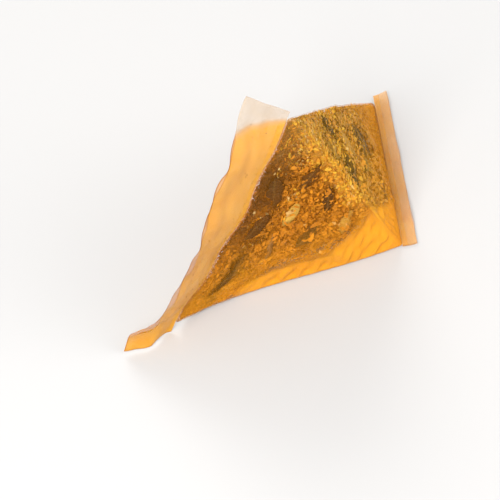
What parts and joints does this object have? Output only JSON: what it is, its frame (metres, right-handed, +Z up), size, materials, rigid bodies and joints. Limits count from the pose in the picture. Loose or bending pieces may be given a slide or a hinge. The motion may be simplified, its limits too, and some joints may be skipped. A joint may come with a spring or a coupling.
{
  "type": "pyramid tea bag",
  "caption": "Steeped pyramid tea bag of sheer mesh with a wide end flap, filled with herbs, petals and fine leaf, resting on one face.",
  "frame": {"origin": "middle of the underside of the bounding box, on the surface that the bag rests on", "axes": "+Z up; +X from the low corner of the wide flap's seam towards the far edge with the narrow flap"},
  "size_m": [0.0858, 0.046, 0.0568],
  "materials": {
    "flower_bud": "wet flower bud, matte",
    "dark_leaf": "wet leaf, satin",
    "sheer_mesh": "sheer wet mesh, stained amber",
    "yellow_petal": "wet petal, soft satin",
    "brown_stem": "wet twig",
    "fine_tea": "wet, matte and crumbly"
  },
  "bodies": {
    "root": {"bud_01": "flower_bud", "bud_02": "flower_bud", "bud_03": "flower_bud", "leaf_01": "dark_leaf", "leaf_02": "dark_leaf", "leaf_03": "dark_leaf", "leaf_04": "dark_leaf", "leaf_05": "dark_leaf", "leaf_06": "dark_leaf", "leaf_07": "dark_leaf", "leaf_08": "dark_leaf", "leaf_09": "dark_leaf", "leaf_10": "dark_leaf", "leaf_11": "dark_leaf", "leaf_12": "dark_leaf", "leaf_13": "dark_leaf", "leaf_14": "dark_leaf", "leaf_15": "dark_leaf", "leaf_16": "dark_leaf", "mesh_bag": "sheer_mesh", "petal_01": "yellow_petal", "petal_02": "yellow_petal", "petal_03": "yellow_petal", "petal_04": "yellow_petal", "petal_05": "yellow_petal", "petal_06": "yellow_petal", "petal_07": "yellow_petal", "petal_08": "yellow_petal", "petal_09": "yellow_petal", "petal_10": "yellow_petal", "petal_11": "yellow_petal", "stem_01": "brown_stem", "stem_02": "brown_stem", "strip_01": "dark_leaf", "tea_bed": "fine_tea"}
  },
  "joints": []
}
